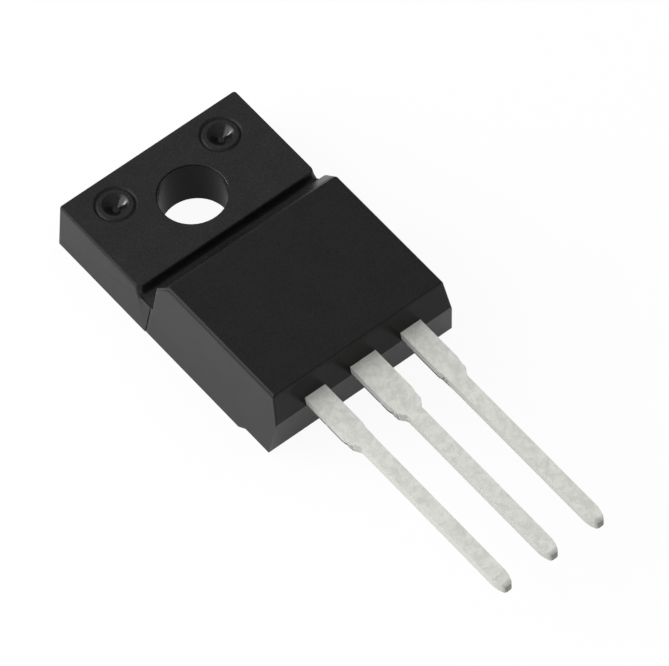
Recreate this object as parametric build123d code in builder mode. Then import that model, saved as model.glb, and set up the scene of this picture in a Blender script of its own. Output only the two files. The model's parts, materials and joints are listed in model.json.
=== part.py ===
from build123d import *
import os
from math import radians, tan

os.makedirs("parts", exist_ok=True)

# Three-lead adjustable voltage regulator in a fully moulded, isolated power package.
#
# Frame: the origin is on the axis of the screw hole, in the plane of the flat back face.
# +Z points out of the marking face, +Y towards the tab's end, and the leads run along -Y.
# Seen from the front with the tab up, lead 1 (adjust) is at -X and lead 3 (input) at +X.
# All sizes are in millimetres, angles in degrees.

# ---------------------------------------------------------------- case outline
case_width = 10.36  # across the tab's back face
case_thickness = 4.5  # back face to marking face
tab_thickness = 2.55  # back face to the top of the tab
tab_reach = 3.38  # screw hole axis to the tab's end, at the back face
lead_end_reach = 12.25  # screw hole axis to the parting line at the lead end
parting_height = 2.7  # parting line at the lead end, which is also the leads' underside
side_setback = 0.03  # the thick part's sides stand in from the tab's

# Mould draft: how far each face leans in. The lead end leans both ways from its parting line.
side_draft = 5.7
tab_end_draft = 1.5
lead_end_draft_upper = 9.0
lead_end_draft_lower = 11.0

# ---------------------------------------------------------------- step, groove and heel
step_foot_reach = 2.97  # screw hole axis to the step wall, at the back face
step_lean = 9.9  # lean of the step wall away from the tab
step_chamfer = 0.9  # chamfer between step wall and marking face
groove_reach = 2.48  # screw hole axis to the near edge of the groove at the foot of the step
groove_depth = 0.53
groove_lean = 10.0
groove_round = 0.25  # along the foot of the groove's wall
step_round = 0.2  # between the step wall and its chamfer
heel_depth = 0.35  # the back face is stepped up near the leads
heel_length = 2.1  # from the parting line at the lead end
heel_ramp = 0.5

# ---------------------------------------------------------------- rounded edges of the case
marking_edge_round = 0.2  # long edges of the marking face, and the chamfer's ends
tab_corner_round = 0.15  # upright corners at the tab's end
groove_corner_round = 0.3  # ends of the groove
tab_rim_round = 0.12  # round the tab's upper face
lead_end_round = 0.08  # marking face's edge over the leads

# ---------------------------------------------------------------- screw hole and pin marks
hole_diameter = 3.2
hole_rim_round = 0.08  # upper rim, where the screw's head sits
pin_mark_spacing = 5.9
pin_mark_reach = 1.78  # screw hole axis to the pin marks, along the tab
pin_ring_diameter = 2.0
pin_ring_width = 0.2
pin_ring_depth = 0.08
pin_dimple_diameter = 1.25
pin_dimple_bottom_diameter = 0.3
pin_dimple_depth = 0.42

# ---------------------------------------------------------------- leads
lead_pitch = 2.54
lead_width = 0.75
lead_thickness = 0.5
lead_length = 13.15  # from the parting line at the lead end to the tip
root_length = 2.58  # full-width root, from the parting line
shoulder_length = 0.2  # from the root down to the stub of the cut dam bar
shoulder_drop = 0.06  # how far the stub stands in from the root, on each side
stub_length = 0.4
stub_taper = 0.35  # from the stub down to the narrow lead
centre_root_step = 0.33  # root wider than the lead, on each side of lead 2
outer_root_step = 0.29  # on the outer side of leads 1 and 3
inner_root_step = 0.08  # on the inner side of leads 1 and 3
tip_flat = 0.42
tip_taper = 0.5

# ---------------------------------------------------------------- inside the case
back_skin = 0.6  # plastic under the die pad
pad_thickness = 1.0
pad_width = 8.2
pad_corner = 0.6
notch_corner = 1.0
tab_skin = 0.8  # plastic between die pad and tab end
hole_skin = 0.7  # plastic between the screw hole and the notch in the die pad
pad_lead_gap = 2.7  # die pad's rear edge to the parting line at the lead end
jog_angle = 60.0  # slope of the strip between lead 2 and the die pad
post_width = 1.9  # bond post at the inner end of leads 1 and 3
post_length = 1.0
post_reach = 0.8  # parting line to the bond posts
bond_land_length = 1.65  # flat of lead 2 inside the parting line
die_length = 2.6
die_width = 3.0
die_thickness = 0.3
die_reach = 6.4  # screw hole axis to the die's centre
solder_thickness = 0.06
solder_margin = 0.12
wire_diameter = 0.25
wire_rise = 1.8  # crest of the wire's loop over the die
wire_crest_reach = 1.2  # foot on the die to the crest, along the wire
wire_bend = 0.6
foot_length = 0.6
foot_width = 0.4
foot_height = 0.15
bond_inset = 0.45  # edge of the die or lead to the middle of a foot

# ---------------------------------------------------------------- heights and places that follow
half_width = case_width / 2
pad_top = back_skin + pad_thickness
die_seat = pad_top + solder_thickness
die_top = die_seat + die_thickness
lead_top = parting_height + lead_thickness
parting_y = -lead_end_reach
root_y = parting_y - root_length
stub_y = root_y - shoulder_length
taper_y = stub_y - stub_length
neck_y = taper_y - stub_taper
tip_y = parting_y - lead_length
land_end_y = parting_y + bond_land_length
pad_rear_y = parting_y + pad_lead_gap
pad_front_y = tab_reach - tab_skin
post_start_y = parting_y + post_reach
post_end_y = post_start_y + post_length


def slope(angle, height):
    """Sideways travel of a face that leans by angle over height."""
    return height * tan(radians(angle))


def side_relief(foot_x, top):
    """What the draft takes off both long sides, up to the height of top."""
    with BuildPart() as relief:
        with BuildSketch(Plane.XZ):
            with BuildLine():
                Polyline(
                    (foot_x, 0),
                    (foot_x - slope(side_draft, top), top),
                    (case_width, top),
                    (case_width, 0),
                    close=True,
                )
            make_face()
            mirror(about=Plane.YZ)
        extrude(amount=lead_end_reach + tab_reach, both=True)
    return relief.part


def lead_outline(centre, left_step, right_step, inner_y):
    """Lines round one stamped lead, from its tapered tip to inner_y inside the case."""
    for side, step in ((-1, left_step), (1, right_step)):
        tip_x = centre + side * tip_flat / 2
        edge_x = centre + side * lead_width / 2
        root_x = edge_x + side * step
        stub_x = root_x - side * shoulder_drop
        Polyline(
            (centre, tip_y),
            (tip_x, tip_y),
            (edge_x, tip_y + tip_taper),
            (edge_x, neck_y),
            (stub_x, taper_y),
            (stub_x, stub_y),
            (root_x, root_y),
            (root_x, inner_y),
            (centre, inner_y),
        )


def outer_lead(side):
    """Lead 1 (side -1) or lead 3 (side 1), with its bond post inside the case."""
    centre = side * lead_pitch
    steps = {side: outer_root_step, -side: inner_root_step}
    post_centre = centre + side * (outer_root_step - inner_root_step) / 2
    with BuildPart() as lead:
        with BuildSketch(Plane.XY.offset(parting_height)):
            with BuildLine():
                lead_outline(centre, steps[-1], steps[1], post_start_y)
            make_face()
            with Locations((post_centre, post_start_y + post_length / 2)):
                Rectangle(post_width, post_length)
        extrude(amount=lead_thickness)
    return lead.part


def bond_wire(start, end):
    """Round wire from the die (start) to a lead (end), pressed into a flat foot at each."""
    along = Vector(end[0] - start[0], end[1] - start[1]).normalized()
    lift = Vector(0, 0, wire_diameter / 2)
    crest = Vector(start) + along * wire_crest_reach + Vector(0, 0, wire_rise)
    with BuildPart() as wire:
        with BuildLine() as path:
            FilletPolyline(Vector(start) + lift, crest, Vector(end) + lift, radius=wire_bend)
        with BuildSketch(Plane(origin=path.line @ 0, z_dir=path.line % 0)):
            Circle(wire_diameter / 2)
        sweep(path=path.line)
        for seat in (start, end):
            with BuildSketch(Plane(origin=seat, x_dir=along, z_dir=(0, 0, 1))):
                Rectangle(foot_length, foot_width)
            extrude(amount=foot_height)
    return wire.part


# ---------------------------------------------------------------- stamped leads
adjust_lead = outer_lead(-1)
adjust_lead.label = "adjust_lead"

input_lead = outer_lead(1)
input_lead.label = "input_lead"

# Lead 2 is one stamping with the die pad, joined to it by a strip that slopes down.
# The pad's two ears run past the screw hole, and the mould's pins press on them.
with BuildPart() as output_lead_frame:
    with BuildSketch(Plane.XY.offset(parting_height)):
        with BuildLine():
            lead_outline(0, centre_root_step, centre_root_step, land_end_y)
        make_face()
    extrude(amount=lead_thickness)
    jog_drop = lead_top - pad_top
    jog_end_y = land_end_y + jog_drop / tan(radians(jog_angle))
    bend_shift = slope(jog_angle / 2, lead_thickness)
    with BuildSketch(Plane.YZ):
        with BuildLine():
            Polyline(
                (land_end_y - lead_thickness, lead_top),
                (land_end_y, lead_top),
                (jog_end_y, pad_top),
                (jog_end_y + lead_thickness, pad_top),
                (jog_end_y + lead_thickness, pad_top - lead_thickness),
                (jog_end_y - bend_shift, pad_top - lead_thickness),
                (land_end_y - bend_shift, parting_height),
                (land_end_y - lead_thickness, parting_height),
                close=True,
            )
        make_face()
    extrude(amount=lead_width / 2 + centre_root_step, both=True)
    with BuildSketch(Plane.XY.offset(back_skin)):
        with Locations((0, (pad_front_y + pad_rear_y) / 2)):
            RectangleRounded(pad_width, pad_front_y - pad_rear_y, pad_corner)
        notch_floor_y = -hole_diameter / 2 - hole_skin
        notch_mouth_y = tab_reach + notch_corner
        with Locations((0, (notch_mouth_y + notch_floor_y) / 2)):
            RectangleRounded(
                -2 * notch_floor_y, notch_mouth_y - notch_floor_y, notch_corner, mode=Mode.SUBTRACT
            )
    extrude(amount=pad_thickness)
output_lead_frame.part.label = "output_lead_frame"

# ---------------------------------------------------------------- die, solder and wires
with BuildPart() as die_solder:
    with BuildSketch(Plane.XY.offset(pad_top)):
        with Locations((0, -die_reach)):
            Rectangle(die_width + 2 * solder_margin, die_length + 2 * solder_margin)
    extrude(amount=solder_thickness)
die_solder.part.label = "die_solder"

with BuildPart() as regulator_die:
    with BuildSketch(Plane.XY.offset(die_seat)):
        with Locations((0, -die_reach)):
            Rectangle(die_width, die_length)
    extrude(amount=die_thickness)
regulator_die.part.label = "regulator_die"

bond_row_y = -die_reach - die_length / 2 + bond_inset
bond_side_x = die_width / 2 - bond_inset
post_bond_x = lead_pitch + (outer_root_step - inner_root_step) / 2
post_bond_y = post_end_y - post_length / 2
land_bond_y = land_end_y - bond_inset

adjust_wire = bond_wire((-bond_side_x, bond_row_y, die_top), (-post_bond_x, post_bond_y, lead_top))
adjust_wire.label = "adjust_wire"

output_wire = bond_wire((0, bond_row_y, die_top), (0, land_bond_y, lead_top))
output_wire.label = "output_wire"

input_wire = bond_wire((bond_side_x, bond_row_y, die_top), (post_bond_x, post_bond_y, lead_top))
input_wire.label = "input_wire"

# ---------------------------------------------------------------- moulded case
# The thick part over the leads and the thin tab are drawn apart, each as one outline seen from
# the side. They meet in the sloping plane of the step wall. The thick part's sides stand in a
# little there, which shows as a fine ledge.
wall_top_z = case_thickness - step_chamfer
wall_top_y = -step_foot_reach - slope(step_lean, wall_top_z)
chamfer_top_y = wall_top_y - step_chamfer
groove_floor_z = tab_thickness - groove_depth
groove_wall_y = -step_foot_reach - slope(step_lean, groove_floor_z)
groove_side_y = -groove_reach - slope(groove_lean, groove_depth)
tab_end_top_y = tab_reach - slope(tab_end_draft, tab_thickness)
lead_end_top_y = parting_y + slope(lead_end_draft_upper, case_thickness - parting_height)
lead_end_foot_y = parting_y + slope(lead_end_draft_lower, parting_height - heel_depth)
heel_y = parting_y + heel_length

with BuildPart() as thick_part:
    with BuildSketch(Plane.YZ):
        with BuildLine():
            Polyline(
                (-step_foot_reach, 0),
                (wall_top_y, wall_top_z),
                (chamfer_top_y, case_thickness),
                (lead_end_top_y, case_thickness),
                (parting_y, parting_height),
                (lead_end_foot_y, heel_depth),
                (heel_y, heel_depth),
                (heel_y + heel_ramp, 0),
                close=True,
            )
        make_face()
    extrude(amount=half_width, both=True)
    add(side_relief(half_width - side_setback, case_thickness), mode=Mode.SUBTRACT)
    marking_face = thick_part.faces().sort_by(Axis.Z)[-1]
    chamfer_middle = (0, (wall_top_y + chamfer_top_y) / 2, (wall_top_z + case_thickness) / 2)
    chamfer_face = thick_part.faces().sort_by_distance(chamfer_middle)[0]
    long_edges = marking_face.edges().filter_by(Axis.Y)
    chamfer_ends = chamfer_face.edges().filter_by(Axis.X, reverse=True)
    fillet(long_edges + chamfer_ends, marking_edge_round)
    lead_end_edge = thick_part.edges().sort_by_distance((0, lead_end_top_y, case_thickness))[0]
    fillet(lead_end_edge, lead_end_round)
    step_edge = thick_part.edges().sort_by_distance((0, wall_top_y, wall_top_z))[0]
    fillet(step_edge, step_round)

with BuildPart() as tab:
    with BuildSketch(Plane.YZ) as tab_outline:
        with BuildLine():
            Polyline(
                (tab_reach, 0),
                (tab_end_top_y, tab_thickness),
                (-groove_reach, tab_thickness),
                (groove_side_y, groove_floor_z),
                (groove_wall_y, groove_floor_z),
                (-step_foot_reach, 0),
                close=True,
            )
        make_face()
        groove_foot = tab_outline.vertices().sort_by_distance((groove_side_y, groove_floor_z))[0]
        fillet(groove_foot, groove_round)
    extrude(amount=half_width, both=True)
    add(side_relief(half_width, tab_thickness), mode=Mode.SUBTRACT)
    tab_end_edges = tab.edges().filter_by_position(Axis.Y, tab_end_top_y, tab_reach)
    fillet(tab_end_edges.filter_by(Axis.X, reverse=True), tab_corner_round)
    groove_wall = tab.faces().sort_by_distance((0, -groove_reach, tab_thickness - groove_depth / 3))[0]
    fillet(groove_wall.edges().filter_by(Axis.X, reverse=True), groove_corner_round)
    tab_face = tab.faces().sort_by_distance((0, 0, tab_thickness))[0]
    fillet(tab_face.edges(), tab_rim_round)

with BuildPart() as moulded_case:
    add(thick_part.part)
    add(tab.part)

    # Screw hole, and the marks that the mould's pins leave in the tab.
    with Locations((0, 0, tab_thickness)):
        Hole(hole_diameter / 2, depth=tab_thickness)
    hole_rim = moulded_case.edges().filter_by(GeomType.CIRCLE).sort_by_distance((0, 0, tab_thickness))[0]
    fillet(hole_rim, hole_rim_round)
    for side in (-1, 1):
        mark = Plane(
            origin=(side * pin_mark_spacing / 2, pin_mark_reach, tab_thickness),
            x_dir=(1, 0, 0),
            z_dir=(0, -1, 0),
        )
        ring_radius = pin_ring_diameter / 2
        with BuildSketch(mark):
            with BuildLine():
                Polyline(
                    (0, 0),
                    (0, -pin_dimple_depth),
                    (pin_dimple_bottom_diameter / 2, -pin_dimple_depth),
                    (pin_dimple_diameter / 2, 0),
                    close=True,
                )
            make_face()
            with BuildLine():
                Polyline(
                    (ring_radius, 0),
                    (ring_radius - pin_ring_width / 2, -pin_ring_depth),
                    (ring_radius - pin_ring_width, 0),
                    close=True,
                )
            make_face()
        revolve(axis=Axis(mark.origin, (0, 0, 1)), mode=Mode.SUBTRACT)

    # The plastic closes round everything that it was moulded over.
    for inner in (
        output_lead_frame.part,
        adjust_lead,
        input_lead,
        die_solder.part,
        regulator_die.part,
        adjust_wire,
        output_wire,
        input_wire,
    ):
        add(inner, mode=Mode.SUBTRACT)
moulded_case.part.label = "moulded_case"

for piece in (
    moulded_case.part,
    output_lead_frame.part,
    adjust_lead,
    input_lead,
    regulator_die.part,
    die_solder.part,
    adjust_wire,
    output_wire,
    input_wire,
):
    export_step(piece, "parts/" + piece.label + ".step")
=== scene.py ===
import json
import logging
import math
from dataclasses import dataclass
from enum import Enum

import bmesh
import bpy
from mathutils import Matrix, Vector

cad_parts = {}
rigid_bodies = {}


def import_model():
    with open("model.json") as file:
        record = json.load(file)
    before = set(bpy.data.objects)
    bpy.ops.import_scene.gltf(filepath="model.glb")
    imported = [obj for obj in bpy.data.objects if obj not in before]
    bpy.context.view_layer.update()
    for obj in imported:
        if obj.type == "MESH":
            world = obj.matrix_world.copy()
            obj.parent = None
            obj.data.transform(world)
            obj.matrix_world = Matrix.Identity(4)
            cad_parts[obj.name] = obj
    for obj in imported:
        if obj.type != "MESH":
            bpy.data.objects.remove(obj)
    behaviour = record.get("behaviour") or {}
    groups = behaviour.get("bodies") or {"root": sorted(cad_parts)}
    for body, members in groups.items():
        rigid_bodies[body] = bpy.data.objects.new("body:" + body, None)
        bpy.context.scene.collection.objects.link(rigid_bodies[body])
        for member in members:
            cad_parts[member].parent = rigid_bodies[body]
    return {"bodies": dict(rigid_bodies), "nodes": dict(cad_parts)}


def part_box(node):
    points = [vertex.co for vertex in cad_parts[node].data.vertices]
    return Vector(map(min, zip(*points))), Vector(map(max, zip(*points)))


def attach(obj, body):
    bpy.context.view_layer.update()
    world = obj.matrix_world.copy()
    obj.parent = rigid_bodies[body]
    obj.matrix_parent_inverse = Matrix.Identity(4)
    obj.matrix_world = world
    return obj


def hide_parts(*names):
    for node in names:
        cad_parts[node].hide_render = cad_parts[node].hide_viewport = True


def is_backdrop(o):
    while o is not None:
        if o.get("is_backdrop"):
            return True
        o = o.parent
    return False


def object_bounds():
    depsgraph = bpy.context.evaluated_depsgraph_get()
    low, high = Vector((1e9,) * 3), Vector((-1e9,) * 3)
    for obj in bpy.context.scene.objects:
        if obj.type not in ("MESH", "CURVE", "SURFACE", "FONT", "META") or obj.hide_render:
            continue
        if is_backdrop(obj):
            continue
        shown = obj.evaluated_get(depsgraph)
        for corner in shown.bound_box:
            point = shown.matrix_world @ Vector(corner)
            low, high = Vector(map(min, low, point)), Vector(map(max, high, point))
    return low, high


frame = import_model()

MM = 0.001
MERGE_DISTANCE = 0.0005 * MM
CUT_DISTANCE = 0.0001 * MM
WHITE = (1.0, 1.0, 1.0, 1.0)
log = logging.getLogger("regulator")


# ---------------------------------------------------------------- node trees
class Graph:
    """A shader or geometry tree, with short calls to add nodes and join their sockets."""

    def __init__(self, tree: bpy.types.NodeTree) -> None:
        """Keeps the tree.

        Args:
            tree: the tree that the nodes are added to.
        """
        self.tree = tree

    def fill(self, socket: bpy.types.NodeSocket, value: object) -> None:
        """Gives an input its value.

        Args:
            socket: the input.
            value: a plain value, or a socket that is joined to it.
        """
        if isinstance(value, bpy.types.NodeSocket):
            self.tree.links.new(value, socket)
        else:
            socket.default_value = value

    def add(self, kind: str, inputs: dict | None = None, **settings: object) -> bpy.types.Node:
        """Adds one node.

        Args:
            kind: the node's type name.
            inputs: input name or number to a value, or to a socket that is joined to it.
            settings: the node's own properties.

        Returns:
            The new node.
        """
        node = self.tree.nodes.new(kind)
        for key, value in settings.items():
            setattr(node, key, value)
        for key, value in (inputs or {}).items():
            self.fill(node.inputs[key], value)
        return node

    def math(self, operation: str, *values: object) -> bpy.types.NodeSocket:
        """Adds a Math node.

        Args:
            operation: the node's operation.
            values: its inputs in order, as numbers or sockets.

        Returns:
            The result's socket.
        """
        return self.add("ShaderNodeMath", dict(enumerate(values)), operation=operation).outputs[0]

    def both(self, first: object, *more: object) -> bpy.types.NodeSocket:
        """Multiplies masks, so that only what lies in all of them stays.

        Args:
            first: a mask's socket.
            more: the other masks' sockets, or numbers.

        Returns:
            The product's socket.
        """
        for mask in more:
            first = self.math("MULTIPLY", first, mask)
        return first

    def plus(self, value: object, factor: object, added: object) -> bpy.types.NodeSocket:
        """Adds a multiple of one value to another.

        Args:
            value: the value's socket.
            factor: what it is multiplied by.
            added: what is added to the product.

        Returns:
            The sum's socket.
        """
        return self.math("MULTIPLY_ADD", value, factor, added)

    def away(self, across: object, along: object) -> bpy.types.NodeSocket:
        """Gives the distance from a point, from the two distances along the axes."""
        squares = [self.math("POWER", part, 2.0) for part in (across, along)]
        return self.math("SQRT", self.math("ADD", *squares))

    def parts(self, vector: object) -> tuple:
        """Splits a vector into the sockets of its three components."""
        return tuple(self.add("ShaderNodeSeparateXYZ", {0: vector}).outputs)

    def facing(self) -> tuple:
        """Gives the three components of the way that the real face looks."""
        return self.parts(self.add("ShaderNodeNewGeometry").outputs["True Normal"])

    def scaled(self, vector: object, factors: object) -> bpy.types.NodeSocket:
        """Multiplies a vector, component by component.

        Args:
            vector: the vector's socket.
            factors: three numbers, or the socket of a vector.

        Returns:
            The product's socket.
        """
        inputs = {0: vector, 1: factors}
        return self.add("ShaderNodeVectorMath", inputs, operation="MULTIPLY").outputs[0]

    def ramp(self, value: object, low: float, high: float,
             out: tuple = (0.0, 1.0)) -> bpy.types.NodeSocket:
        """Maps a value smoothly from one range to another, and holds it at the ends.

        Args:
            value: the value's socket.
            low: where the range starts.
            high: where the range ends.
            out: what the two ends become.

        Returns:
            The mapped value's socket.
        """
        inputs = {"Value": value, "From Min": low, "From Max": high,
                  "To Min": out[0], "To Max": out[1]}
        node = self.add("ShaderNodeMapRange", inputs, interpolation_type="SMOOTHSTEP")
        return node.outputs[0]

    def fade(self, value: object, low: float, high: float) -> bpy.types.NodeSocket:
        """Gives 1 below a range of values and 0 above it.

        Args:
            value: the value's socket.
            low: where the range starts.
            high: where the range ends.

        Returns:
            The mask's socket.
        """
        return self.ramp(value, low, high, (1.0, 0.0))

    def blend(self, factor: object, first: object, second: object) -> bpy.types.NodeSocket:
        """Mixes two colours.

        Args:
            factor: 0 gives the first and 1 the second.
            first: an RGBA colour or a socket.
            second: an RGBA colour or a socket.

        Returns:
            The mixed colour's socket.
        """
        inputs = {0: factor, 6: first, 7: second}
        return self.add("ShaderNodeMix", inputs, data_type="RGBA").outputs[2]


def new_group(name: str, kind: str, inputs: dict, outputs: dict) -> tuple:
    """Starts a node group with named sockets.

    Args:
        name: the group's name.
        kind: "ShaderNodeTree" or "GeometryNodeTree".
        inputs: socket name to socket type, or to (type, default value).
        outputs: socket name to socket type.

    Returns:
        The group, its Graph, its Group Input node and its Group Output node.
    """
    group = bpy.data.node_groups.new(name, kind)
    for label, spec in inputs.items():
        socket_type, default = spec if isinstance(spec, tuple) else (spec, None)
        socket = group.interface.new_socket(label, in_out="INPUT", socket_type=socket_type)
        if default is not None:
            socket.default_value = default
    for label, socket_type in outputs.items():
        group.interface.new_socket(label, in_out="OUTPUT", socket_type=socket_type)
    graph = Graph(group)
    return group, graph, graph.add("NodeGroupInput"), graph.add("NodeGroupOutput")


class Effect(Enum):
    """The surface effects that more than one finish uses, each a shader node group."""

    GRAIN = "fine_grain"
    PATCHES = "soft_patches"
    SCUFFS = "fine_scuffs"

    def group(self) -> bpy.types.NodeTree:
        """Gives the effect's node group, and makes it the first time."""
        made = bpy.data.node_groups.get(self.value)
        return made if made else {
            Effect.GRAIN: fine_grain,
            Effect.PATCHES: soft_patches,
            Effect.SCUFFS: fine_scuffs,
        }[self]()


def fine_grain() -> bpy.types.NodeTree:
    """Grain of a sand-textured or plated surface: a fine height and the tone that goes with it."""
    group, graph, given, out = new_group(
        Effect.GRAIN.value,
        "ShaderNodeTree",
        {"Position": "NodeSocketVector", "Grains per mm": ("NodeSocketFloat", 10.0),
         "Roughness": ("NodeSocketFloat", 0.6)},
        {"Height": "NodeSocketFloat", "Tone": "NodeSocketFloat"},
    )
    pit_share = 0.35
    darkest, palest = 0.35, 0.95
    where = {"Vector": given.outputs["Position"], "Scale": given.outputs["Grains per mm"]}
    noise = graph.add("ShaderNodeTexNoise", where | {
        "Detail": 3.0, "Roughness": given.outputs["Roughness"]})
    pits = graph.add("ShaderNodeTexVoronoi", where)
    height = graph.plus(pits.outputs["Distance"], pit_share, noise.outputs["Fac"])
    graph.fill(out.inputs["Height"], height)
    graph.fill(out.inputs["Tone"], graph.ramp(height, darkest, palest))
    return group


def soft_patches() -> bpy.types.NodeTree:
    """Broad soft patches, as of uneven plating or handling, between 0 and 1."""
    group, graph, given, out = new_group(
        Effect.PATCHES.value,
        "ShaderNodeTree",
        {"Position": "NodeSocketVector", "Patches per mm": ("NodeSocketFloat", 1.0)},
        {"Mask": "NodeSocketFloat"},
    )
    low, high = 0.3, 0.7
    noise = graph.add("ShaderNodeTexNoise", {
        "Vector": given.outputs["Position"], "Scale": given.outputs["Patches per mm"],
        "Detail": 4.0, "Roughness": 0.62, "Distortion": 0.4})
    graph.fill(out.inputs["Mask"], graph.ramp(noise.outputs["Fac"], low, high))
    return group


def fine_scuffs() -> bpy.types.NodeTree:
    """Sparse short scuffs in two directions, 1 on a scuff and 0 off it."""
    group, graph, given, out = new_group(
        Effect.SCUFFS.value,
        "ShaderNodeTree",
        {"Position": "NodeSocketVector", "Sparseness": ("NodeSocketFloat", 0.66)},
        {"Mask": "NodeSocketFloat"},
    )
    softness = 0.05
    turns_and_stretches = ((0.35, (9.0, 0.9, 9.0)), (-0.9, (0.8, 8.0, 8.0)))
    sets = []
    for turn, stretch in turns_and_stretches:
        turned = graph.add("ShaderNodeVectorRotate",
                           {"Vector": given.outputs["Position"], "Angle": turn})
        noise = graph.add("ShaderNodeTexNoise", {
            "Vector": graph.scaled(turned.outputs[0], stretch), "Scale": 1.0, "Detail": 2.0})
        over = graph.math("SUBTRACT", noise.outputs["Fac"], given.outputs["Sparseness"])
        sets.append(graph.ramp(over, 0.0, softness))
    graph.fill(out.inputs["Mask"], graph.math("MAXIMUM", *sets))
    return group


# ---------------------------------------------------------------- finishes
@dataclass(frozen=True)
class Finish:
    """What every finish has: its name and the socket values that are the same all over."""

    name: str
    metallic: float = 0.0
    specular: float = 0.5

    def start(self) -> tuple:
        """Makes the material.

        Returns:
            The material, its Graph, its Principled BSDF and the position in millimetres.
        """
        material = bpy.data.materials.new(self.name)
        material.use_nodes = True
        graph = Graph(material.node_tree)
        shader = material.node_tree.nodes["Principled BSDF"]
        shader.inputs["Metallic"].default_value = self.metallic
        shader.inputs["Specular IOR Level"].default_value = self.specular
        place = graph.add("ShaderNodeTexCoord").outputs["Object"]
        return material, graph, shader, graph.scaled(place, (1 / MM,) * 3)

    def effect(self, graph: Graph, effect: Effect, **values: object) -> bpy.types.Node:
        """Places a shared effect in the material.

        Args:
            graph: the material's Graph.
            effect: which effect.
            values: its inputs, with _ for each space in their names.

        Returns:
            The group node.
        """
        inputs = {key.replace("_", " "): value for key, value in values.items()}
        node = graph.add("ShaderNodeGroup", node_tree=effect.group())
        for key, value in inputs.items():
            graph.fill(node.inputs[key], value)
        return node

    def bump(self, graph: Graph, shader: bpy.types.Node, height: object, depth: float,
             share: object = 1.0) -> None:
        """Gives the surface a fine relief.

        Args:
            graph: the material's Graph.
            shader: the Principled BSDF.
            height: the height's socket, between 0 and 1.
            depth: how deep the relief is, in metres.
            share: how much of the relief shows, as a number or a mask's socket.
        """
        inputs = {"Height": height, "Distance": depth, "Strength": share}
        graph.fill(shader.inputs["Normal"], graph.add("ShaderNodeBump", inputs).outputs[0])


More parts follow.
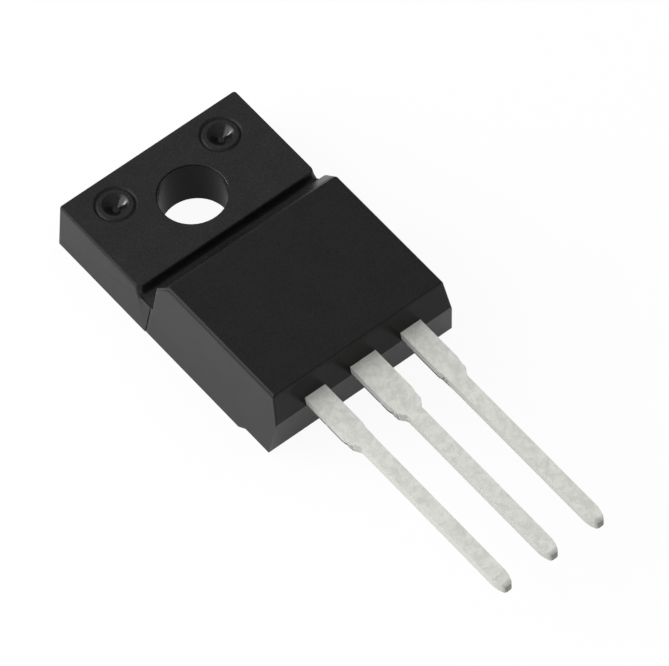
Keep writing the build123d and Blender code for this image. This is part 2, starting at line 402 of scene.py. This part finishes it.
@dataclass(frozen=True)
class MouldingCompound(Finish):
    """Black mineral-filled epoxy with the fine texture of its mould.

    The tab's upper face is a little paler and duller than the rest, and the groove at the step's
    foot is given the same paler colour as painted light that lifts the shade in it.
    The edges of the tab and of the marking face are worn dull, and the mould's pins leave two
    polished cones. Levels, places and reaches are in millimetres.
    """

    name: str = "black_moulding_compound"
    specular: float = 0.19
    dark: tuple = (0.0022, 0.0022, 0.0023, 1.0)
    light: tuple = (0.0088, 0.0088, 0.0091, 1.0)
    # Paler colours of the tab's face, also laid in the groove as painted light that lifts its
    # shade.
    tab_and_lit_groove_dark: tuple = (0.0058, 0.0057, 0.0057, 1.0)
    tab_and_lit_groove_light: tuple = (0.0190, 0.0187, 0.0185, 1.0)
    grains_per_mm: float = 11.0
    patches_per_mm: float = 0.7
    sparseness: float = 0.70
    patch_tone: float = 0.25
    grain_tone: float = 0.8
    scuff_tone: float = 0.35
    rough_low: float = 0.19
    rough_high: float = 0.24
    scuff_rough: float = 0.05
    tab_and_groove_rough: float = 0.10
    rim_rough: float = 0.30
    grain_depth: float = 0.0040 * MM
    tab_level: float = 2.55
    tab_rim: tuple = (0.02, 0.16)
    faces_up: tuple = (0.5, 0.95)
    leans: tuple = (0.85, 0.98)
    groove: tuple = (-3.36, -2.40)
    groove_edge: float = 0.05
    groove_half_width: float = 4.95
    groove_end_edge: float = 0.1
    groove_reach: tuple = (0.55, 0.65)
    bore_radius: float = 1.75
    bore_edge: float = 0.1
    marking_level: float = 4.5
    marking_rim: tuple = (0.18, 0.30)
    marking_rim_share: float = 0.6
    pin_place: tuple = (2.95, 1.78)
    pin_reach: float = 0.62
    pin_edge: float = 0.04
    pin_levels: tuple = (1.6, 1.9)
    pin_polish: float = 0.14
    pin_coat: float = 0.12
    pin_rough: float = 0.28

    def zones(self, graph: Graph, place: object) -> tuple:
        """Finds the tab's upper face with its groove, and the worn rims.

        Args:
            graph: the material's Graph.
            place: the position in millimetres.

        Returns:
            The sockets of two masks: one for the face and the groove, one for the rims.
        """
        across, along, level = graph.parts(place)
        upward = graph.facing()[2]
        off = graph.math("ABSOLUTE", graph.math("SUBTRACT", level, self.tab_level))
        near = graph.fade(off, *self.tab_rim)
        face = graph.both(near, graph.ramp(upward, *self.faces_up))
        # The groove at the step's foot: painted light, paler colour where shade falls in the
        # recess.
        start, end = self.groove
        groove = graph.both(
            graph.ramp(along, start, start + self.groove_edge),
            graph.fade(along, end - self.groove_edge, end),
            graph.fade(graph.math("ABSOLUTE", across),
                       self.groove_half_width - self.groove_end_edge, self.groove_half_width),
            graph.fade(off, *self.groove_reach),
        )
        on_tab = graph.both(
            graph.ramp(along, end - self.groove_edge, end),
            graph.ramp(graph.away(across, along),
                       self.bore_radius, self.bore_radius + self.bore_edge),
        )
        below = graph.math("SUBTRACT", self.marking_level, level)
        marking_rim = graph.both(graph.fade(below, *self.marking_rim), self.marking_rim_share)
        rims = graph.math("MAXIMUM", graph.both(near, on_tab), marking_rim)
        rims = graph.both(rims, graph.fade(upward, *self.leans))
        return graph.math("MAXIMUM", face, groove), rims

    def pin_zone(self, graph: Graph, place: object) -> bpy.types.NodeSocket:
        """Finds the two cones that the mould's polished pins leave.

        Args:
            graph: the material's Graph.
            place: the position in millimetres.

        Returns:
            The mask's socket: 1 in a cone, 0 elsewhere.
        """
        across, along, level = graph.parts(place)
        pin_across, pin_along = self.pin_place
        away = graph.away(
            graph.math("SUBTRACT", graph.math("ABSOLUTE", across), pin_across),
            graph.math("SUBTRACT", along, pin_along),
        )
        return graph.both(graph.ramp(level, *self.pin_levels),
                          graph.fade(away, self.pin_reach - self.pin_edge, self.pin_reach))

    def material(self) -> bpy.types.Material:
        """Makes the material."""
        material, graph, shader, place = self.start()
        grain = self.effect(graph, Effect.GRAIN, Position=place, Grains_per_mm=self.grains_per_mm)
        patches = self.effect(graph, Effect.PATCHES, Position=place,
                              Patches_per_mm=self.patches_per_mm).outputs["Mask"]
        scuffs = self.effect(graph, Effect.SCUFFS, Position=place,
                             Sparseness=self.sparseness).outputs["Mask"]
        tab_and_lit_groove, rims = self.zones(graph, place)
        pins = self.pin_zone(graph, place)

        tone = graph.plus(patches, self.patch_tone, grain.outputs["Tone"])
        tone = graph.math("MULTIPLY", tone, self.grain_tone)
        tone = graph.plus(scuffs, self.scuff_tone, tone)
        smooth_colour = graph.blend(tone, self.dark, self.light)
        tab_and_lit_groove_colour = graph.blend(tone, self.tab_and_lit_groove_dark, self.tab_and_lit_groove_light)
        # Paler colour on the tab's face, and painted light in the groove at the step's foot.
        colour = graph.blend(tab_and_lit_groove, smooth_colour, tab_and_lit_groove_colour)
        graph.fill(shader.inputs["Base Color"], colour)

        dull = graph.ramp(patches, 0.0, 1.0, (self.rough_high, self.rough_low))
        changes = ((scuffs, self.scuff_rough), (tab_and_lit_groove, self.tab_and_groove_rough),
                   (rims, self.rim_rough), (pins, -self.pin_polish))
        for mask, change in changes:
            dull = graph.plus(mask, change, dull)
        graph.fill(shader.inputs["Roughness"], dull)
        graph.fill(shader.inputs["Coat Weight"], graph.both(pins, self.pin_coat))
        shader.inputs["Coat Roughness"].default_value = self.pin_rough
        self.bump(graph, shader, grain.outputs["Height"], self.grain_depth)
        return material


@dataclass(frozen=True)
class MatteTin(Finish):
    """Matte tin plating on stamped copper: mottled, and grey at the cut ends.

    The sides are sheared, so they are rougher, and the roots' lower edges have dark patches.
    Levels and places are in millimetres.
    """

    name: str = "matte_tin_plating"
    metallic: float = 0.40
    dark: tuple = (0.575, 0.58, 0.545, 1.0)
    light: tuple = (0.755, 0.76, 0.715, 1.0)
    sheared: tuple = (0.54, 0.545, 0.515, 1.0)
    # Colour of the dark patches along the lower edges of the roots' sides.
    lower_edge_dark: tuple = (0.16, 0.155, 0.14, 1.0)
    cut_end: tuple = (0.33, 0.33, 0.31, 1.0)
    grains_per_mm: float = 16.0
    patches_per_mm: float = 2.4
    sparseness: float = 0.66
    grain_tone: float = 0.35
    mottle: float = 0.74
    scuff_tone: float = -0.4
    faces_up: tuple = (0.2, 0.8)
    lies_flat: tuple = (0.90, 0.99)
    faces_along: tuple = (0.80, 0.97)
    lower_edge_levels: tuple = (2.70 + 0.09, 2.70 + 0.15)
    lower_edge_from: tuple = (-15.35 - 0.2, -15.35)
    lower_edge_patches: tuple = (0.05, 0.35)
    rough_low: float = 0.54
    rough_high: float = 0.62
    side_rough: float = 0.30
    grain_depth: float = 0.0004 * MM
    dent_depth: float = 0.005 * MM

    def skin(self, graph: Graph, place: object, tone: object,
             patches: object) -> bpy.types.NodeSocket:
        """Colours the flats, the sheared sides, the dark patches on the roots' lower edges and the
        cut ends.

        Args:
            graph: the material's Graph.
            place: the position in millimetres.
            tone: how light the flats are, between 0 and 1.
            patches: the mask of the soft patches.

        Returns:
            The colour's socket.
        """
        _, forward, upward = graph.facing()
        _, along, level = graph.parts(place)
        flat = graph.ramp(graph.math("ABSOLUTE", upward), *self.faces_up)
        skin = graph.blend(flat, self.sheared, graph.blend(tone, self.dark, self.light))
        # Dark patches along the lower edges of the roots' sides, between the dam bar's cut and the
        # case.
        torn = graph.both(
            graph.fade(level, *self.lower_edge_levels),
            graph.ramp(along, *self.lower_edge_from),
            graph.ramp(patches, *self.lower_edge_patches),
            graph.math("SUBTRACT", 1.0, flat),
        )
        skin = graph.blend(torn, skin, self.lower_edge_dark)
        end = graph.ramp(graph.math("ABSOLUTE", forward), *self.faces_along)
        return graph.blend(end, skin, self.cut_end)

    def material(self) -> bpy.types.Material:
        """Makes the material."""
        material, graph, shader, place = self.start()
        grain = self.effect(graph, Effect.GRAIN, Position=place, Grains_per_mm=self.grains_per_mm)
        patches = self.effect(graph, Effect.PATCHES, Position=place,
                              Patches_per_mm=self.patches_per_mm).outputs["Mask"]
        scuffs = self.effect(graph, Effect.SCUFFS, Position=place,
                             Sparseness=self.sparseness).outputs["Mask"]
        tone = graph.plus(grain.outputs["Tone"], self.grain_tone, patches)
        tone = graph.math("MULTIPLY", tone, self.mottle)
        tone = graph.math("MAXIMUM", graph.plus(scuffs, self.scuff_tone, tone), 0.0)
        graph.fill(shader.inputs["Base Color"], self.skin(graph, place, tone, patches))

        level = graph.ramp(graph.math("ABSOLUTE", graph.facing()[2]), *self.lies_flat)
        rough = graph.ramp(patches, 0.0, 1.0, (self.rough_high, self.rough_low))
        worn = graph.both(graph.math("SUBTRACT", 1.0, level), self.side_rough)
        graph.fill(shader.inputs["Roughness"], graph.math("ADD", rough, worn))
        share = self.grain_depth / self.dent_depth
        height = graph.plus(grain.outputs["Height"], share, patches)
        self.bump(graph, shader, height, self.dent_depth, level)
        return material


@dataclass(frozen=True)
class Silicon(Finish):
    """Dark grey passivated silicon, in small cells with a slight change of tone."""

    name: str = "passivated_silicon"
    specular: float = 0.6
    dark: tuple = (0.07, 0.08, 0.10, 1.0)
    light: tuple = (0.14, 0.14, 0.16, 1.0)
    cells_per_mm: float = 4.0
    patches_per_mm: float = 1.0
    rough_low: float = 0.18
    rough_high: float = 0.28

    def material(self) -> bpy.types.Material:
        """Makes the material."""
        material, graph, shader, place = self.start()
        cells = graph.add("ShaderNodeTexVoronoi", {"Vector": place, "Scale": self.cells_per_mm},
                          distance="CHEBYCHEV")
        tint = graph.blend(cells.outputs["Distance"], self.dark, self.light)
        graph.fill(shader.inputs["Base Color"], tint)
        patches = self.effect(graph, Effect.PATCHES, Position=place,
                              Patches_per_mm=self.patches_per_mm)
        rough = graph.ramp(patches.outputs["Mask"], 0.0, 1.0, (self.rough_low, self.rough_high))
        graph.fill(shader.inputs["Roughness"], rough)
        return material


@dataclass(frozen=True)
class DullMetal(Finish):
    """Plain soft metal with a faint mottle, for the solder, the bond wires and the burrs."""

    metallic: float = 1.0
    colour: tuple = (0.45, 0.45, 0.46, 1.0)
    shade: float = 0.8
    rough: float = 0.45
    rougher: float = 0.08
    smoother: float = 0.05
    grains_per_mm: float = 20.0
    patches_per_mm: float = 3.0
    grain_depth: float = 0.002 * MM

    def material(self) -> bpy.types.Material:
        """Makes the material."""
        material, graph, shader, place = self.start()
        patches = self.effect(graph, Effect.PATCHES, Position=place,
                              Patches_per_mm=self.patches_per_mm).outputs["Mask"]
        shaded = tuple(self.shade * part for part in self.colour[:3]) + (1.0,)
        graph.fill(shader.inputs["Base Color"], graph.blend(patches, shaded, self.colour))
        ends = (self.rough + self.rougher, self.rough - self.smoother)
        graph.fill(shader.inputs["Roughness"], graph.ramp(patches, 0.0, 1.0, ends))
        grain = self.effect(graph, Effect.GRAIN, Position=place, Grains_per_mm=self.grains_per_mm)
        self.bump(graph, shader, grain.outputs["Height"], self.grain_depth)
        return material


# ---------------------------------------------------------------- pieces
def place_piece(name: str, data: bpy.types.ID) -> bpy.types.Object:
    """Adds an object to the scene, at the origin.

    Args:
        name: the object's name.
        data: its mesh, light or camera.

    Returns:
        The object.
    """
    piece = bpy.data.objects.new(name, data)
    bpy.context.scene.collection.objects.link(piece)
    return piece


def dress(piece: bpy.types.Object, material: bpy.types.Material) -> None:
    """Gives every face of a piece one material.

    Args:
        piece: the piece, or a node of the frame.
        material: its finish.
    """
    if not piece.material_slots:
        piece.data.materials.append(material)
    for place in piece.material_slots:
        place.material = material


def merged_copy(node: str) -> tuple:
    """Copies a node's mesh and merges its doubled corners.

    Args:
        node: the frame's node.

    Returns:
        The copy, and the editable form of it that still has to be written back.
    """
    mesh = frame["nodes"][node].data.copy()
    shape = bmesh.new()
    shape.from_mesh(mesh)
    bmesh.ops.remove_doubles(shape, verts=shape.verts, dist=MERGE_DISTANCE)
    return mesh, shape


def write_back(shape: bmesh.types.BMesh, mesh: bpy.types.Mesh) -> None:
    """Writes an editable mesh back and frees it.

    Args:
        shape: the editable mesh.
        mesh: the mesh that it is written to.
    """
    shape.to_mesh(mesh)
    shape.free()


def evaluated_mesh(piece: bpy.types.Object) -> bpy.types.Mesh:
    """Gives a plain mesh of a piece as its modifiers leave it."""
    view = bpy.context.evaluated_depsgraph_get()
    return bpy.data.meshes.new_from_object(piece.evaluated_get(view))


def weigh_normals(piece: bpy.types.Object, keep_sharp: bool) -> None:
    """Makes large faces look flat beside small rounded ones.

    Args:
        piece: the piece.
        keep_sharp: whether its sharp edges stay sharp.
    """
    shading = piece.modifiers.new("flat_faces", "WEIGHTED_NORMAL")
    shading.keep_sharp = keep_sharp


def stand_for(piece: bpy.types.Object, node: str) -> None:
    """Puts a piece in the frame in place of a node.

    Args:
        piece: the finished piece.
        node: the node that it replaces.
    """
    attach(piece, "root")
    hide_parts(node)


@dataclass
class Case:
    """The black moulding with its tab, step, screw hole and pin marks.

    The solid's rounded corners leave a slit at the foot of the step on both sides, and a soft
    end to the groove. The real moulding is closed and crisp there, so small fillings are joined.
    """

    node: str = "moulded_case"
    slot: str = "moulding_compound"
    side_draft: float = math.tan(math.radians(5.7))
    step_lean: float = math.tan(math.radians(9.9))
    step_foot: float = -2.97 * MM
    thick_half_width: float = 5.15 * MM
    tab_half_width: float = 5.18 * MM
    groove_floor: float = 2.02 * MM
    groove_start: float = -2.60 * MM
    corner_depth: float = 0.30 * MM
    bed_depth: float = 0.36 * MM
    inset: float = 0.003 * MM
    tab_overlap: float = 0.08 * MM
    edge_angle: float = math.radians(18.7)

    def filling(self, name: str, half_width: float, levels: tuple,
                reach: tuple) -> bpy.types.Object:
        """Makes a pair of upright wedges that follow the case's two long sides.

        Args:
            name: the object's name.
            half_width: the side's distance from the middle, at the back face.
            levels: the wedge's lowest and highest level.
            reach: for each of the two levels, where the wedge starts and ends along the case.

        Returns:
            The wedges as one object.
        """
        shape = bmesh.new()
        for side in (-1, 1):
            rings = []
            for level, (start, end) in zip(levels, reach):
                outer = half_width - level * self.side_draft - self.inset
                inner = outer - self.corner_depth
                corners = ((inner, start), (outer, start), (outer, end), (inner, end))
                rings.append([shape.verts.new((side * x, y, level)) for x, y in corners])
            low, high = rings
            shape.faces.new(low)
            shape.faces.new(high)
            for number, corner in enumerate(low):
                after = (number + 1) % len(low)
                shape.faces.new((corner, low[after], high[after], high[number]))
        bmesh.ops.recalc_face_normals(shape, faces=shape.faces)
        mesh = bpy.data.meshes.new(name)
        write_back(shape, mesh)
        return place_piece(name, mesh)

    def step_plane(self, level: float) -> float:
        """Where the step wall's plane is along the case, at a level."""
        return self.step_foot - level * self.step_lean

    def fillings(self) -> list:
        """Makes the fillings of the slits and of the groove's ends."""
        low, high = self.inset, self.groove_floor - self.inset
        slit = [
            (self.step_plane(level) - self.corner_depth, self.step_plane(level) + self.tab_overlap)
            for level in (low, high)
        ]
        bed = self.groove_floor - self.bed_depth
        end = [
            (self.step_plane(level) + self.inset, self.groove_start) for level in (bed, high)
        ]
        return [
            self.filling("slit_filling", self.thick_half_width, (low, high), slit),
            self.filling("groove_end_filling", self.tab_half_width, (bed, high), end),
        ]

    def join(self, piece: bpy.types.Object, filling: bpy.types.Object) -> None:
        """Joins a filling to the moulding as one closed mesh, and removes the filling.

        Args:
            piece: the moulding.
            filling: the filling.
        """
        union = piece.modifiers.new(filling.name, "BOOLEAN")
        union.operation = "UNION"
        union.solver = "EXACT"
        union.object = filling
        joined = evaluated_mesh(piece)
        piece.modifiers.remove(union)
        piece.data = joined
        bpy.data.objects.remove(filling)

    def shade(self, piece: bpy.types.Object) -> None:
        """Shades the rounds smooth and keeps the other edges sharp.

        Args:
            piece: the moulding.
        """
        shape = bmesh.new()
        shape.from_mesh(piece.data)
        for face in shape.faces:
            face.smooth = True
        for edge in shape.edges:
            edge.smooth = edge.is_manifold and edge.calc_face_angle() < self.edge_angle
        write_back(shape, piece.data)
        weigh_normals(piece, keep_sharp=True)

    def build(self) -> None:
        """Joins the fillings to a copy of the moulding, and dresses it."""
        mesh, shape = merged_copy(self.node)
        write_back(shape, mesh)
        piece = place_piece("moulding", mesh)
        for filling in self.fillings():
            self.join(piece, filling)
        self.shade(piece)
        dress(piece, MouldingCompound().material())
        stand_for(piece, self.node)
        log.info("%s: moulding compound", self.node)


def cut_burrs() -> bpy.types.NodeTree:
    """Torn nubs where the dam bar was cut off a lead, one on each side of it."""
    group, graph, given, out = new_group(
        "cut_burrs",
        "GeometryNodeTree",
        {"Geometry": "NodeSocketGeometry", "Left": "NodeSocketVector", "Right": "NodeSocketVector",
         "Half Size": "NodeSocketVector", "Raggedness": ("NodeSocketFloat", 0.3),
         "Lumps": ("NodeSocketFloat", 1.6), "Seed": ("NodeSocketFloat", 1.0),
         "Material": "NodeSocketMaterial"},
        {"Geometry": "NodeSocketGeometry"},
    )
    noise_middle = 0.5
    ball = graph.add("GeometryNodeMeshIcoSphere", {"Radius": 1.0, "Subdivisions": 3})
    wander = graph.add("ShaderNodeTexNoise", {
        "W": given.outputs["Seed"], "Scale": given.outputs["Lumps"], "Detail": 2.0,
    }, noise_dimensions="4D")
    push = graph.both(graph.math("SUBTRACT", wander.outputs["Fac"], noise_middle),
                      given.outputs["Raggedness"])
    normal = graph.add("GeometryNodeInputNormal")
    shift = graph.add("ShaderNodeVectorMath", {0: normal.outputs[0], "Scale": push},
                      operation="SCALE")
    torn = graph.add("GeometryNodeSetPosition",
                     {"Geometry": ball.outputs["Mesh"], "Offset": shift.outputs[0]})
    smooth = graph.add("GeometryNodeSetShadeSmooth", {0: torn.outputs[0]})
    sides = graph.add("GeometryNodeMeshLine", {
        "Count": 2, "Start Location": given.outputs["Left"], "Offset": given.outputs["Right"],
    }, mode="END_POINTS")
    nubs = graph.add("GeometryNodeInstanceOnPoints", {
        "Points": sides.outputs[0], "Instance": smooth.outputs[0],
        "Scale": given.outputs["Half Size"]})
    real = graph.add("GeometryNodeRealizeInstances", {0: nubs.outputs[0]})
    finish = graph.add("GeometryNodeSetMaterial",
                       {"Geometry": real.outputs[0], "Material": given.outputs["Material"]})
    joined = graph.add("GeometryNodeJoinGeometry", {0: finish.outputs[0]})
    graph.fill(joined.inputs[0], given.outputs["Geometry"])
    graph.fill(out.inputs["Geometry"], joined.outputs[0])
    return group


def grow(piece: bpy.types.Object, group: bpy.types.NodeTree, values: dict) -> None:
    """Runs a geometry tree after a piece's other modifiers, and keeps the result as a plain mesh.

    Args:
        piece: the piece.
        group: the tree.
        values: the name of each of its inputs, and the value it gets.
    """
    growth = piece.modifiers.new(group.name, "NODES")
    growth.node_group = group
    for socket in group.interface.items_tree:
        if socket.in_out == "INPUT" and socket.name in values:
            growth[socket.identifier] = values[socket.name]
    grown = evaluated_mesh(piece)
    piece.modifiers.clear()
    piece.data = grown


@dataclass
class Leads:
    """The three stamped leads: worn edges, rounded corners, and the burrs of the cut dam bar."""

    nodes: tuple = ("adjust_lead", "output_lead_frame", "input_lead")
    slot: str = "tinned_copper"
    flat_angle: float = math.radians(0.5)
    rim_round: float = 0.055 * MM
    sharpest: float = math.radians(40)
    corner_round: float = 0.10 * MM
    tip_shoulder_round: float = 0.24 * MM
    tip_round: float = 0.13 * MM
    tip_zone: float = 0.30 * MM
    tip_shoulder_zone: float = 0.70 * MM
    upright: float = 0.001 * MM
    roll_length: float = 0.26 * MM
    roll_depth: float = 0.26 * MM
    roll_steps: int = 6
    pitch: float = 2.54 * MM
    outer_stub: float = 0.605 * MM
    inner_stub: float = 0.395 * MM
    centre_stub: float = 0.645 * MM
    stub_from_case: float = 2.98 * MM
    stub_height: float = 2.90 * MM
    burr_half_size: tuple = (0.055 * MM, 0.19 * MM, 0.17 * MM)
    raggedness: float = 0.8
    lumps: float = 1.6
    first_seed: float = 1.0

    def round_corners(self, shape: bmesh.types.BMesh) -> None:
        """Rounds the upright corners of the part of a lead that is outside the case.

        Args:
            shape: the lead's mesh, with its flat faces whole.
        """
        case_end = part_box("moulded_case")[0][1]
        tip = min(vertex.co.y for vertex in shape.verts)
        zones = (
            (tip - MM, tip + self.tip_zone, self.tip_round),
            (tip + self.tip_zone, tip + self.tip_shoulder_zone, self.tip_shoulder_round),
            (tip + self.tip_shoulder_zone, case_end - self.tip_zone, self.corner_round),
        )
        for start, end, radius in zones:
            corners = [
                edge for edge in shape.edges
                if start < edge.verts[0].co.y < end
                and (edge.verts[0].co.xy - edge.verts[1].co.xy).length < self.upright
            ]
            bmesh.ops.bevel(shape, geom=corners, offset=radius, offset_type="OFFSET", segments=5,
                            profile=0.5, affect="EDGES", clamp_overlap=True)

    def roll_tip(self, shape: bmesh.types.BMesh) -> None:
        """Rolls the upper face of a lead over at its tip, as the cut leaves it.

        Args:
            shape: the lead's mesh.
        """
        tip = min(vertex.co.y for vertex in shape.verts)
        levels = [vertex.co.z for vertex in shape.verts if vertex.co.y < tip + self.roll_length]
        top, bottom = max(levels), min(levels)
        for step in range(self.roll_steps):
            turn = step / self.roll_steps * math.pi / 2
            place = tip + self.roll_length * (1.0 - math.sin(turn))
            bmesh.ops.bisect_plane(
                shape, geom=shape.verts[:] + shape.edges[:] + shape.faces[:], dist=CUT_DISTANCE,
                plane_co=(0.0, place, 0.0), plane_no=(0.0, 1.0, 0.0),
            )
        for vertex in shape.verts:
            share = min(max(0.0, 1.0 - (vertex.co.y - tip) / self.roll_length), 1.0)
            height = (vertex.co.z - bottom) / (top - bottom)
            vertex.co.z -= self.roll_depth * (1.0 - math.sqrt(1.0 - share ** 2)) * height

    def stamping(self, node: str, material: bpy.types.Material) -> bpy.types.Object:
        """Makes a stamped piece with rounded edges from its solid.

        Args:
            node: the frame's node.
            material: its finish.

        Returns:
            The new piece, which stands for the node.
        """
        mesh, shape = merged_copy(node)
        bmesh.ops.dissolve_limit(shape, angle_limit=self.flat_angle,
                                 verts=shape.verts, edges=shape.edges)
        self.round_corners(shape)
        self.roll_tip(shape)
        for part in (*shape.faces, *shape.edges):
            part.smooth = True
        write_back(shape, mesh)
        piece = place_piece(node + "_stamping", mesh)
        rounding = piece.modifiers.new("stamped_edges", "BEVEL")
        rounding.width = self.rim_round
        rounding.segments = 4
        rounding.limit_method = "ANGLE"
        rounding.angle_limit = self.sharpest
        rounding.use_clamp_overlap = True
        weigh_normals(piece, keep_sharp=False)
        dress(piece, material)
        return piece

    def build(self) -> None:
        """Makes and dresses the three leads."""
        material = MatteTin().material()
        torn = DullMetal("torn_copper", colour=(0.52, 0.50, 0.47, 1.0), rough=0.5).material()
        burrs = cut_burrs()
        stubs = (
            (-self.pitch, self.outer_stub, self.inner_stub),
            (0.0, self.centre_stub, self.centre_stub),
            (self.pitch, self.inner_stub, self.outer_stub),
        )
        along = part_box("moulded_case")[0][1] - self.stub_from_case
        for number, (node, (centre, left, right)) in enumerate(zip(self.nodes, stubs)):
            piece = self.stamping(node, material)
            grow(piece, burrs, {
                "Left": (centre - left, along, self.stub_height),
                "Right": (centre + right, along, self.stub_height),
                "Half Size": self.burr_half_size,
                "Raggedness": self.raggedness,
                "Lumps": self.lumps,
                "Seed": self.first_seed + number,
                "Material": torn,
            })
            stand_for(piece, node)
            log.info("%s: stamped and tinned", node)


@dataclass
class Chip:
    """What the moulding hides: the silicon, its solder and the bond wires."""

    wires: tuple = ("adjust_wire", "output_wire", "input_wire")

    def build(self) -> None:
        """Dresses the silicon, the solder and the wires."""
        finishes = {
            "regulator_die": ("silicon", Silicon().material()),
            "die_solder": ("solder", DullMetal("dull_solder").material()),
        }
        wire = DullMetal("drawn_wire", colour=(0.80, 0.80, 0.81, 1.0), rough=0.3).material()
        finishes.update({name: ("bond_wire", wire) for name in self.wires})
        for name, (slot, material) in finishes.items():
            dress(frame["nodes"][name], material)
            log.info("%s: %s", name, material.name)


# ---------------------------------------------------------------- studio
@dataclass(frozen=True)
class Lamp:
    """A square soft lamp: its way from the part, its distance, its size and its power."""

    name: str
    way: tuple
    size: float
    power: float
    distance: float = 0.25

    def hang(self) -> None:
        """Hangs the lamp, turned towards the part's middle."""
        light = bpy.data.lights.new(self.name, "AREA")
        light.shape = "SQUARE"
        light.size = self.size
        light.energy = self.power
        piece = place_piece(self.name, light)
        way = Vector(self.way).normalized()
        low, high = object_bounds()
        piece.location = (low + high) / 2 + way * self.distance
        piece.rotation_euler = way.to_track_quat("Z", "Y").to_euler()


@dataclass
class Studio:
    """Pale floor, surroundings that are paler overhead, a broad soft lamp and a small one."""

    floor_reach: float = 1.5
    floor_level: float = -0.01 * MM
    floor_glow: float = 0.93
    floor_mirrored: float = 0.25
    floor_colour: tuple = (0.90, 0.90, 0.90, 1.0)
    low_surround: float = 0.32
    high_surround: float = 0.84
    surround_rise: tuple = (0.3, 0.85)
    lamps: tuple = (
        Lamp("soft_lamp", (-0.77, 0.46, 0.44), 0.22, 0.60),
        Lamp("small_lamp", (-0.59, 0.76, 0.26), 0.05, 0.157),
    )

    def floor_material(self) -> bpy.types.Material:
        """Makes a matt white that glows when it is seen, and a little when it is mirrored."""
        material = bpy.data.materials.new("pale_floor")
        material.use_nodes = True
        graph = Graph(material.node_tree)
        graph.tree.nodes.clear()
        matt = graph.add("ShaderNodeBsdfDiffuse", {"Color": self.floor_colour})
        white = graph.add("ShaderNodeEmission", {"Color": WHITE, "Strength": 1.0})
        path = graph.add("ShaderNodeLightPath").outputs
        seen = graph.both(path["Is Camera Ray"], self.floor_glow)
        mirrored = graph.math("MAXIMUM", path["Is Glossy Ray"], path["Is Transmission Ray"])
        share = graph.math("MAXIMUM", seen, graph.both(mirrored, self.floor_mirrored))
        mixed = graph.add("ShaderNodeMixShader",
                          {0: share, 1: matt.outputs[0], 2: white.outputs[0]})
        graph.add("ShaderNodeOutputMaterial", {"Surface": mixed.outputs[0]})
        return material

    def floor(self) -> None:
        """Lays a pale floor that looks white and keeps the object's shadow."""
        mesh = bpy.data.meshes.new("floor")
        reach = self.floor_reach
        corners = [(-reach, -reach), (reach, -reach), (reach, reach), (-reach, reach)]
        mesh.from_pydata([(x, y, self.floor_level) for x, y in corners], [], [(0, 1, 2, 3)])
        mesh.materials.append(self.floor_material())
        place_piece("floor", mesh)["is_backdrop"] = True

    def surroundings(self) -> None:
        """Sets a pale world that is brightest overhead."""
        world = bpy.data.worlds.new("pale_surroundings")
        bpy.context.scene.world = world
        world.use_nodes = True
        graph = Graph(world.node_tree)
        rise = graph.parts(graph.add("ShaderNodeTexCoord").outputs["Generated"])[2]
        level = graph.ramp(rise, *self.surround_rise, (self.low_surround, self.high_surround))
        graph.fill(world.node_tree.nodes["Background"].inputs["Color"], level)

    def build(self) -> None:
        """Sets the floor, the world, the lamps and how colours are shown."""
        self.floor()
        self.surroundings()
        for lamp in self.lamps:
            lamp.hang()
        bpy.context.scene.view_settings.view_transform = "Standard"
        log.info("studio: floor, surroundings and lamps")


@dataclass
class Camera:
    """The camera: where it stands round the part, and what it aims at."""

    azimuth: float = math.radians(-34.0147)
    elevation: float = math.radians(55.0414)
    roll: float = math.radians(-5.2010)
    distance: float = 392.927 * MM
    aim_from_middle: tuple = (0.051 * MM, 0.924 * MM, 0.555 * MM)
    lens: float = 484.8
    sensor: float = 36.0

    def build(self, low: Vector, high: Vector) -> None:
        """Places the camera and makes it the scene's.

        Args:
            low: the part's lowest corner.
            high: the part's highest corner.
        """
        flat_right = Vector((math.cos(self.azimuth), math.sin(self.azimuth), 0.0))
        back = Vector((
            math.sin(self.azimuth) * math.cos(self.elevation),
            -math.cos(self.azimuth) * math.cos(self.elevation),
            math.sin(self.elevation),
        ))
        level_up = back.cross(flat_right)
        right = math.cos(self.roll) * flat_right + math.sin(self.roll) * level_up
        up = math.cos(self.roll) * level_up - math.sin(self.roll) * flat_right
        data = bpy.data.cameras.new("camera")
        data.lens = self.lens
        data.sensor_width = self.sensor
        piece = place_piece("camera", data)
        aim = (low + high) / 2 + Vector(self.aim_from_middle)
        turn = Matrix((right, up, back)).transposed().to_4x4()
        piece.matrix_world = Matrix.Translation(aim + back * self.distance) @ turn
        bpy.context.scene.camera = piece
        log.info("camera: %.1f mm from the part", self.distance / MM)


def clear_defaults() -> None:
    """Removes Blender's own starting cube, lamp and camera."""
    own = set(frame["nodes"].values()) | set(frame["bodies"].values())
    for piece in list(bpy.data.objects):
        if piece not in own:
            bpy.data.objects.remove(piece)


def main() -> None:
    """Builds the dressed regulator and its studio."""
    logging.basicConfig(level=logging.INFO, format="%(message)s")
    clear_defaults()
    cad_low, cad_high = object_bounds()
    Case().build()
    Leads().build()
    Chip().build()
    Studio().build()
    Camera().build(cad_low, cad_high)


if __name__ == "__main__":
    main()
